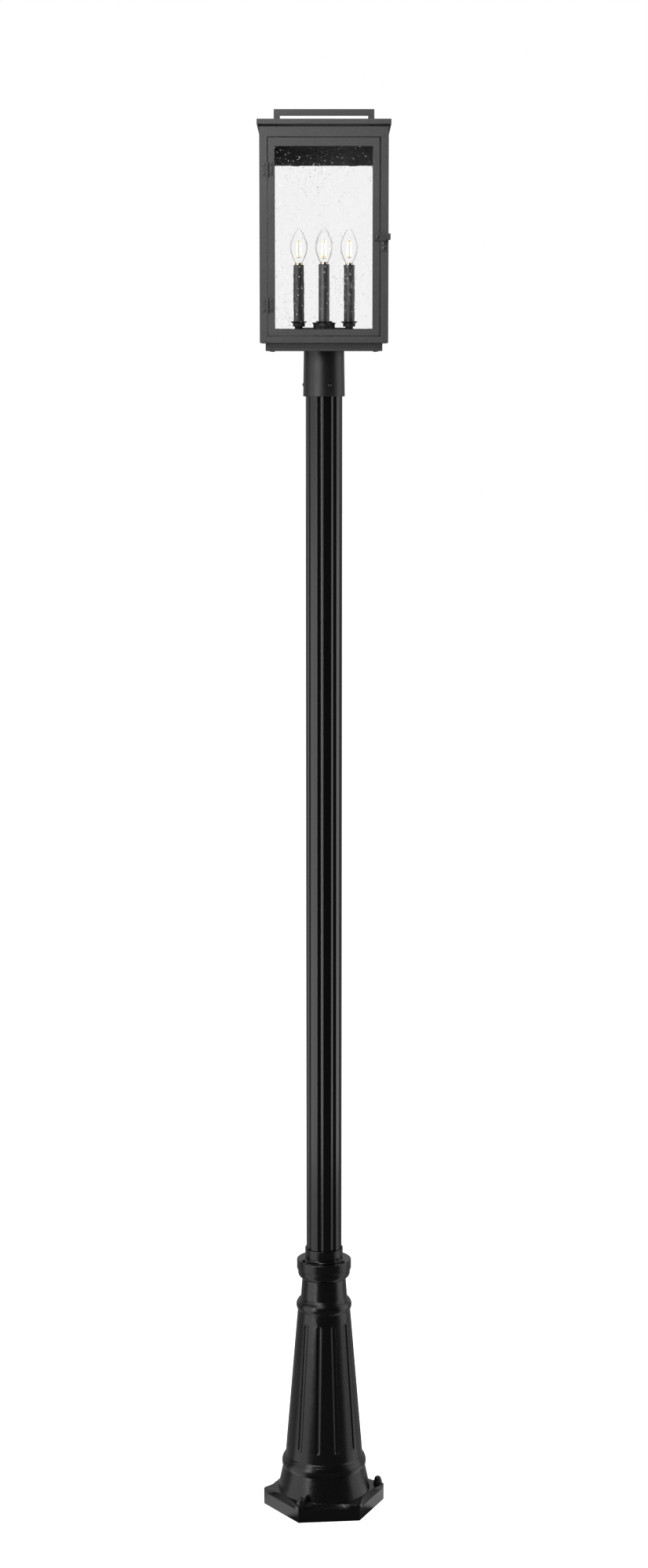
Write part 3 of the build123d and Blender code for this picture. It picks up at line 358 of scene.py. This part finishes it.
def candle_sleeve_finish(colour):
    """Blackened tube with a rough, brushed-on texture."""
    sleeve = Surface("sleeve_black")
    drag = sleeve.noise(scale=240.0, detail=4.0, stretch=(1.0, 1.0, 0.2))
    crust = sleeve.noise(scale=520.0, detail=4.0)
    tone = (0.5 * drag + 0.5 * crust).between(0.4, 0.62)
    body = sleeve.mix(tone, shade_of(colour, 0.6), shade_of(colour, 1.7))
    return sleeve.finish(
        sleeve.principled(
            {
                "Base Color": body,
                "Roughness": 0.3 + 0.16 * crust,
                "Specular IOR Level": 0.65,
                "Normal": sleeve.bump(
                    drag + 0.6 * crust, SLEEVE_GRAIN, sleeve.rounded(SLEEVE_ROUNDING)
                ),
            }
        )
    )


def socket_finish(colour):
    """Moulded cream thermoset."""
    cream = Surface("socket_cream")
    cloud = cream.noise(scale=90.0, detail=4.0)
    speck = cream.noise(scale=700.0, detail=2.0)
    body = cream.mix(cloud.between(0.3, 0.7), shade_of(colour, 0.88), shade_of(colour, 1.06))
    return cream.finish(
        cream.principled(
            {
                "Base Color": cream.mix(0.2 * speck, body, shade_of(colour, 0.6)),
                "Roughness": 0.4 + 0.15 * cloud,
                "Normal": cream.bump(speck, SOCKET_GRAIN, cream.rounded(SOCKET_ROUNDING)),
            }
        )
    )


def pane_glass(tint, wave):
    """Drawn seeded glass, slightly wavy along its draw."""
    pane = Surface("seeded_glass")
    draw = pane.noise(scale=46.0, detail=2.0, stretch=(1.0, 1.0, 0.12))
    ripple = pane.noise(scale=11.0, detail=2.0)
    skin = pane.noise(scale=190.0, detail=1.0, stretch=(1.0, 1.0, 0.45))
    height = draw + 1.6 * ripple + 0.14 * skin
    streak = pane.noise(scale=160.0, detail=4.0, stretch=(1.0, 1.0, 0.09), roughness=0.65)
    speck = pane.noise(scale=700.0, detail=3.0, roughness=0.7).between(0.38, 0.5)
    clear = 0.6 * streak.between(0.35, 0.65) + 0.4 * speck
    glass = pane.principled(
        {
            "Base Color": pane.mix(clear, shade_of(tint, 0.97), tint),
            "Roughness": 0.0,
            "IOR": PANE_IOR,
            "Transmission Weight": 1.0,
            "Normal": pane.bump(height, wave),
        }
    )
    return pane.finish(pane.let_light_through(glass, tint))


def seed_air():
    """The air in a bubble, seen from inside the glass."""
    seed = Surface("seed_air")
    dimple = seed.noise(scale=1500.0, detail=2.0)
    air = seed.principled(
        {
            "Base Color": WHITE,
            "Roughness": 0.0,
            "IOR": 1.0 / PANE_IOR,
            "Transmission Weight": 1.0,
            "Normal": seed.bump(dimple, SEED_DIMPLE),
        }
    )
    return seed.finish(seed.let_light_through(air))


def bulb_glass_finish(name, tint):
    """Blown glass of the bulbs, seen mostly at its rim."""
    blown = Surface(name)
    flow = blown.noise(scale=60.0, detail=2.0)
    glass = blown.principled(
        {
            "Base Color": tint,
            "Roughness": 0.0,
            "IOR": BULB_IOR,
            "Transmission Weight": 1.0,
            "Normal": blown.bump(flow, BULB_FLOW),
        }
    )
    rim = blown.node("ShaderNodeLayerWeight", {}, {"Blend": 0.5}, "Facing")
    clear = blown.node("ShaderNodeBsdfTransparent", {}, {"Color": WHITE})
    wall = blown.node(
        "ShaderNodeMixShader", {}, {0: rim.between(0.5, 0.9), 1: clear, 2: glass}
    )
    return blown.finish(blown.let_light_through(wall))


def filament_finish(colour, strength, low, high):
    """Glowing filament between two heights, paler in the middle than at its ends."""
    wire = Surface("filament_glow")
    height = wire.node("ShaderNodeSeparateXYZ", {}, {0: wire.place()}, "Z")
    share = height.between(low, high)
    grain = wire.noise(scale=900.0, detail=2.0)
    heat = (share * (1.0 - share) * 4.0 + 0.3 * (grain - 0.5)).between(0.35, 0.6)
    return wire.finish(
        wire.principled(
            {
                "Base Color": FILAMENT_COLD,
                "Roughness": 0.5,
                "Emission Color": wire.mix(heat, colour, FILAMENT_HOT),
                "Emission Strength": strength,
            }
        )
    )


# Settings

class PostPaintSettings(bpy.types.PropertyGroup):
    colour: bpy.props.FloatVectorProperty(
        name="Paint colour",
        description="Black paint of the post, its base and the fitter",
        subtype="COLOR",
        size=4,
        default=(0.0022, 0.0022, 0.0024, 1.0),
        min=0.0,
        max=1.0,
    )


class LanternCoatSettings(bpy.types.PropertyGroup):
    colour: bpy.props.FloatVectorProperty(
        name="Coat colour",
        description="Dark grey powder coat of the lantern",
        subtype="COLOR",
        size=4,
        default=(0.056, 0.056, 0.0582, 1.0),
        min=0.0,
        max=1.0,
    )
    grain: bpy.props.FloatProperty(
        name="Grain",
        description="Depth of the coat's texture",
        subtype="DISTANCE",
        default=0.00012,
        min=0.0,
    )


class HardwareSettings(bpy.types.PropertyGroup):
    black: bpy.props.FloatVectorProperty(
        name="Black hardware",
        description="Colour of the blackened bolts and screws",
        subtype="COLOR",
        size=4,
        default=(0.012, 0.012, 0.013, 1.0),
        min=0.0,
        max=1.0,
    )
    screws: bpy.props.FloatVectorProperty(
        name="Screws",
        description="Colour of the screws and pins of the lantern",
        subtype="COLOR",
        size=4,
        default=(0.05, 0.05, 0.052, 1.0),
        min=0.0,
        max=1.0,
    )


class GlassSettings(bpy.types.PropertyGroup):
    tint: bpy.props.FloatVectorProperty(
        name="Glass tint",
        description="Colour of the seeded glass",
        subtype="COLOR",
        size=4,
        default=(0.99, 0.992, 0.99, 1.0),
        min=0.0,
        max=1.0,
    )
    wave: bpy.props.FloatProperty(
        name="Wave height",
        description="Height of the glass's waves",
        subtype="DISTANCE",
        default=0.00035,
        min=0.0,
    )
    seed_count: bpy.props.IntProperty(
        name="Seeds per pane",
        description="Number of air bubbles in each pane",
        default=1600,
        min=0,
    )
    swarms: bpy.props.IntProperty(
        name="Swarms per pane", description="Number of swarms of bubbles", default=16, min=1
    )
    swarming: bpy.props.FloatProperty(
        name="Share in swarms",
        description="Share of the bubbles that keep to a swarm",
        subtype="FACTOR",
        default=0.4,
        min=0.0,
        max=1.0,
    )
    seed_radius: bpy.props.FloatProperty(
        name="Largest seed",
        description="Half width of the largest bubble",
        subtype="DISTANCE",
        default=0.00095,
        min=0.0001,
    )


class BulbSettings(bpy.types.PropertyGroup):
    glow: bpy.props.FloatVectorProperty(
        name="Glow colour",
        description="Colour of the cooler parts of the filaments",
        subtype="COLOR",
        size=4,
        default=(1.0, 0.68, 0.09, 1.0),
        min=0.0,
        max=1.0,
    )
    strength: bpy.props.FloatProperty(
        name="Glow strength", description="How bright the filaments are", default=1.4, min=0.0
    )


class StageSettings(bpy.types.PropertyGroup):
    camera_distance: bpy.props.FloatProperty(
        name="Camera distance",
        description="From the camera to the post's axis",
        subtype="DISTANCE",
        default=5.94,
    )
    camera_height: bpy.props.FloatProperty(
        name="Camera height",
        description="Height of the camera above the ground",
        subtype="DISTANCE",
        default=2.49,
    )
    camera_pitch: bpy.props.FloatProperty(
        name="Camera pitch",
        description="How far the camera looks down",
        subtype="ANGLE",
        default=math.radians(8.55),
    )
    camera_lens: bpy.props.FloatProperty(
        name="Lens", description="Focal length of the camera in millimetres", default=65.07
    )
    sky: bpy.props.FloatProperty(
        name="Sky light", description="Strength of the light from all round", default=0.25
    )
    dark_front: bpy.props.FloatProperty(
        name="Dark front",
        description="How bright the room in front of the object is in its gloss",
        default=0.06,
    )
    bright_back: bpy.props.FloatProperty(
        name="Bright back",
        description="How bright the room behind the object is in its gloss",
        default=0.45,
    )


# Pieces

class POSTLIGHT_OT_paint_post(bpy.types.Operator):
    """Paints the base casting, the collar, the post and the fitter"""

    bl_idname = "postlight.paint_post"
    bl_label = "Paint the post"

    def execute(self, context):
        look = context.scene.post_paint
        colour = tuple(look.colour)
        cast = gloss_paint(
            "cast_black", colour, roughness=0.21, grain=0.00014, cast=0.9, rounding=0.0018
        )
        drawn = gloss_paint(
            "post_black", colour, roughness=0.14, grain=0.00002, cast=0.3, rounding=0.0012
        )
        fitter = gloss_paint(
            "fitter_black",
            shade_of(colour, 6.0),
            roughness=0.36,
            grain=0.00014,
            cast=0.3,
            rounding=0.0012,
        )
        paint(cast, ["base_casting", "post_collar"])
        paint(drawn, ["post_tube"])
        paint(fitter, ["post_fitter"])
        return {"FINISHED"}


class POSTLIGHT_OT_coat_lantern(bpy.types.Operator):
    """Coats the lantern's sheet metal, its handle, its door frame, its hinges and its clips"""

    bl_idname = "postlight.coat_lantern"
    bl_label = "Coat the lantern"

    def execute(self, context):
        look = context.scene.lantern_coat
        colour = tuple(look.colour)
        sheet = powder_coat("lantern_grey", colour, look.grain)
        small = powder_coat("hardware_grey", shade_of(colour, 0.8), look.grain * 0.6)
        for name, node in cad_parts.items():
            before = node.material_slots[0].material.name
            if before.startswith("lantern_grey"):
                paint(sheet, [name])
            elif before.startswith("hardware_grey"):
                paint(small, [name])
        paint(small, ["glass_clips"])
        return {"FINISHED"}


class POSTLIGHT_OT_finish_hardware(bpy.types.Operator):
    """Finishes the bolts, the screws, the hinge pins and the glass retainer"""

    bl_idname = "postlight.finish_hardware"
    bl_label = "Finish the hardware"

    def execute(self, context):
        look = context.scene.hardware
        black = plated_steel("bolts_black", tuple(look.black), roughness=0.34, metallic=0.0)
        screws = plated_steel("hardware_screws", tuple(look.screws), roughness=0.38, metallic=0.3)
        paint(
            black,
            [
                "anchor_nuts",
                "anchor_washers",
                "collar_bolts",
                "fitter_set_screws",
                "door_glass_retainer",
            ],
        )
        paint(
            screws,
            [
                "pan_screws",
                "handle_screws",
                "hinge_pins",
                "hinge_frame_screws",
                "hinge_door_screws",
                "latch_pivot_screw",
                "latch_keeper_screws",
            ],
        )
        return {"FINISHED"}


class POSTLIGHT_OT_finish_cluster(bpy.types.Operator):
    """Finishes the hub, the arms, the cups, the candle sleeves and the sockets"""

    bl_idname = "postlight.finish_cluster"
    bl_label = "Finish the candle cluster"

    def execute(self, context):
        cluster = powder_coat("cluster_black", CLUSTER_BLACK, CLUSTER_GRAIN)
        brass = plated_steel("brass", BRASS, roughness=0.3)
        paint(cluster, ["cluster_hub", "hub_cap", "cluster_arms", "candle_cups", "socket_stems"])
        paint(brass, ["centre_nipple", "nipple_nuts"])
        paint(candle_sleeve_finish(SLEEVE_BLACK), ["candle_sleeves"])
        paint(socket_finish(SOCKET_CREAM), ["candle_sockets"])
        return {"FINISHED"}


class POSTLIGHT_OT_light_bulbs(bpy.types.Operator):
    """Finishes the bulbs and lights their filaments"""

    bl_idname = "postlight.light_bulbs"
    bl_label = "Light the bulbs"

    def execute(self, context):
        look = context.scene.bulbs
        paint(bulb_glass_finish("bulb_glass", BULB_CLEAR), ["bulb_glass"])
        paint(bulb_glass_finish("bulb_stem_glass", STEM_CLEAR), ["bulb_stems"])
        nickel = plated_steel("bulb_metal", NICKEL, roughness=0.2)
        paint(nickel, ["bulb_bases", "filament_frames"])
        low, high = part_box("bulb_filaments")
        glow = filament_finish(tuple(look.glow), look.strength, low[2], high[2])
        paint(glow, ["bulb_filaments"])
        return {"FINISHED"}


class POSTLIGHT_OT_glaze_panes(bpy.types.Operator):
    """Glazes the lantern and scatters air bubbles inside each pane"""

    bl_idname = "postlight.glaze_panes"
    bl_label = "Glaze the panes"

    def execute(self, context):
        look = context.scene.glass
        paint(pane_glass(tuple(look.tint), look.wave), list(PANES))
        air = seed_air()
        for order, (pane, (name, body)) in enumerate(PANES.items()):
            seeds = scatter_seeds(name, pane, look, random.Random(order + FIRST_DRAW))
            seeds.data.materials.append(air)
            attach(seeds, body)
        return {"FINISHED"}


def unit_ball(smoothness):
    """Corners and faces of a ball of radius 1."""
    mesh = bmesh.new()
    bmesh.ops.create_icosphere(mesh, subdivisions=smoothness, radius=1.0)
    mesh.verts.index_update()
    corners = [corner.co.copy() for corner in mesh.verts]
    faces = [[corner.index for corner in face.verts] for face in mesh.faces]
    mesh.free()
    return corners, faces


def scatter_seeds(name, pane, look, draw):
    """A mesh of drawn-out bubbles that all lie inside the pane, some of them in swarms."""
    low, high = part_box(pane)
    size = [high[axis] - low[axis] for axis in range(3)]
    thin = size.index(min(size))
    balls = {"small": unit_ball(smoothness=1), "large": unit_ball(smoothness=2)}
    swarms = [
        [draw.uniform(low[axis], high[axis]) for axis in range(3)] for _ in range(look.swarms)
    ]
    corners, faces = [], []
    for _ in range(look.seed_count):
        share = SMALLEST_SEED + (1.0 - SMALLEST_SEED) * draw.random() ** SEED_RARITY
        width = look.seed_radius * share
        radii = [width, width, width * draw.uniform(1.0, LONGEST_SEED)]
        radii[thin] = min(width, SEED_DEPTH * size[thin])
        turn = Matrix.Rotation(draw.gauss(0.0, SEED_TILT), 3, "XYZ"[thin])
        room = [max(radii) * SIDE_ROOM] * 3
        room[thin] = radii[thin] * FACE_ROOM
        least = [low[axis] + room[axis] for axis in range(3)]
        most = [high[axis] - room[axis] for axis in range(3)]
        place = [draw.uniform(least[axis], most[axis]) for axis in range(3)]
        if draw.random() < look.swarming:
            swarm = draw.choice(swarms)
            for axis in range(3):
                if axis != thin:
                    near = draw.gauss(swarm[axis], SWARM_SPREAD)
                    place[axis] = min(max(near, least[axis]), most[axis])
        points, sides = balls["small" if share < FINE_SEED else "large"]
        first = len(corners)
        for point in points:
            drawn = Vector([point[axis] * radii[axis] for axis in range(3)])
            corners.append(Vector(place) + turn @ drawn)
        faces.extend([first + corner for corner in side] for side in sides)
    data = bpy.data.meshes.new(name)
    data.from_pydata(corners, [], faces)
    data.shade_smooth()
    seeds = bpy.data.objects.new(name, data)
    bpy.context.scene.collection.objects.link(seeds)
    return seeds


class POSTLIGHT_OT_set_stage(bpy.types.Operator):
    """Sets the floor, the backdrop, the lamps and the camera"""

    bl_idname = "postlight.set_stage"
    bl_label = "Set the stage"

    def execute(self, context):
        look = context.scene.stage
        add_floor(look)
        add_backdrop(look)
        for lamp in LAMPS:
            add_lamp(*lamp)
        add_camera(look)
        return {"FINISHED"}


def add_lamp(name, place, aim, width, height, power):
    lamp = bpy.data.lights.new(name, "AREA")
    lamp.shape = "RECTANGLE"
    lamp.size = width
    lamp.size_y = height
    lamp.energy = power
    holder = bpy.data.objects.new(name, lamp)
    holder.location = place
    direction = Vector(aim) - Vector(place)
    holder.rotation_euler = direction.to_track_quat("-Z", "Y").to_euler()
    holder.visible_camera = False
    bpy.context.scene.collection.objects.link(holder)


def add_floor(look):
    """A floor that is white to the camera but for the object's shadow, with cards in its gloss."""
    data = bpy.data.meshes.new("floor")
    corners = [
        (-FLOOR_REACH, -FLOOR_REACH, 0.0),
        (FLOOR_REACH, -FLOOR_REACH, 0.0),
        (FLOOR_REACH, FLOOR_REACH, 0.0),
        (-FLOOR_REACH, FLOOR_REACH, 0.0),
    ]
    data.from_pydata(corners, [], [(0, 1, 2, 3)])
    floor = bpy.data.objects.new("floor", data)
    bpy.context.scene.collection.objects.link(floor)
    ground = Surface("floor_white")
    direct = ground.node("ShaderNodeLightPath", {}, {}, "Is Camera Ray")
    through = ground.node("ShaderNodeLightPath", {}, {}, "Is Transmission Ray")
    seen = (direct + through).between(0.0, 1.0)
    mirrored = ground.node("ShaderNodeLightPath", {}, {}, "Is Glossy Ray") * (1.0 - seen)
    place = ground.node("ShaderNodeVectorMath", {"operation": "NORMALIZE"}, {0: ground.place()})
    shine = FLOOR_FRONT * look.dark_front
    for direction, (start, full), brightness in FLOOR_CARDS:
        likeness = ground.node(
            "ShaderNodeVectorMath", {"operation": "DOT_PRODUCT"}, {0: place, 1: direction}, "Value"
        )
        shine = shine + brightness * likeness.between(start, full)
    strength = FLOOR_LIFT * seen + shine * mirrored
    colour = ground.mix(seen, FLOOR_DARK, FLOOR_PALE)
    pale = ground.node("ShaderNodeBsdfDiffuse", {}, {"Color": colour})
    lift = ground.node("ShaderNodeEmission", {}, {"Color": WHITE, "Strength": strength})
    both = ground.node("ShaderNodeAddShader", {}, {0: pale, 1: lift})
    data.materials.append(ground.finish(both))
    ground.material.cycles.emission_sampling = "NONE"


def add_backdrop(look):
    """A backdrop that is white to the camera, through glass and behind the object in its gloss."""
    world = bpy.data.worlds.new("backdrop_white")
    world.use_nodes = True
    sky = Tree(world.node_tree)
    path = {
        name: sky.node("ShaderNodeLightPath", {}, {}, name)
        for name in ("Is Camera Ray", "Is Transmission Ray", "Is Glossy Ray")
    }
    direction = sky.node("ShaderNodeTexCoord", {}, {}, "Generated")
    behind = sky.node("ShaderNodeSeparateXYZ", {}, {0: direction}, "Y").between(0.15, 0.6)
    shown = (path["Is Camera Ray"] + path["Is Transmission Ray"]).between(0.0, 1.0)
    gloss = path["Is Glossy Ray"] * (1.0 - shown)
    soft = (1.0 - gloss) * (1.0 - shown)
    room = look.dark_front + (look.bright_back - look.dark_front) * behind
    strength = shown + gloss * room + soft * look.sky
    background = sky.node("ShaderNodeBackground", {}, {"Color": WHITE, "Strength": strength})
    sky.end("ShaderNodeOutputWorld", background)
    bpy.context.scene.world = world


def add_camera(look):
    data = bpy.data.cameras.new("camera")
    data.lens = look.camera_lens
    data.sensor_width = 36.0
    data.clip_end = 200.0
    camera = bpy.data.objects.new("camera", data)
    camera.location = (0.0, -look.camera_distance, look.camera_height)
    camera.rotation_euler = (math.pi / 2 - look.camera_pitch, 0.0, 0.0)
    bpy.context.scene.collection.objects.link(camera)
    bpy.context.scene.camera = camera


class POSTLIGHT_PT_panel(bpy.types.Panel):
    bl_label = "Post light"
    bl_idname = "POSTLIGHT_PT_panel"
    bl_space_type = "VIEW_3D"
    bl_region_type = "UI"
    bl_category = "Post light"

    def draw(self, context):
        for operator, group in STEPS:
            box = self.layout.box()
            box.operator(operator.bl_idname)
            if group:
                settings = getattr(context.scene, group)
                for name in settings.__annotations__:
                    box.prop(settings, name)


GROUPS = {
    "post_paint": PostPaintSettings,
    "lantern_coat": LanternCoatSettings,
    "hardware": HardwareSettings,
    "glass": GlassSettings,
    "bulbs": BulbSettings,
    "stage": StageSettings,
}
STEPS = [
    (POSTLIGHT_OT_paint_post, "post_paint"),
    (POSTLIGHT_OT_coat_lantern, "lantern_coat"),
    (POSTLIGHT_OT_finish_hardware, "hardware"),
    (POSTLIGHT_OT_finish_cluster, ""),
    (POSTLIGHT_OT_light_bulbs, "bulbs"),
    (POSTLIGHT_OT_glaze_panes, "glass"),
    (POSTLIGHT_OT_set_stage, "stage"),
]


def register():
    for name, group in GROUPS.items():
        bpy.utils.register_class(group)
        setattr(bpy.types.Scene, name, bpy.props.PointerProperty(type=group))
    for operator, _ in STEPS:
        bpy.utils.register_class(operator)
    bpy.utils.register_class(POSTLIGHT_PT_panel)


def unregister():
    bpy.utils.unregister_class(POSTLIGHT_PT_panel)
    for operator, _ in reversed(STEPS):
        bpy.utils.unregister_class(operator)
    for name, group in reversed(GROUPS.items()):
        delattr(bpy.types.Scene, name)
        bpy.utils.unregister_class(group)


def main():
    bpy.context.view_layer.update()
    register()
    for operator, _ in STEPS:
        family, name = operator.bl_idname.split(".")
        getattr(getattr(bpy.ops, family), name)()
    scene = bpy.context.scene
    scene.view_settings.view_transform = "Standard"
    scene.cycles.max_bounces = 32
    scene.cycles.transmission_bounces = 28
    scene.cycles.transparent_max_bounces = 32


if __name__ == "__main__":
    main()
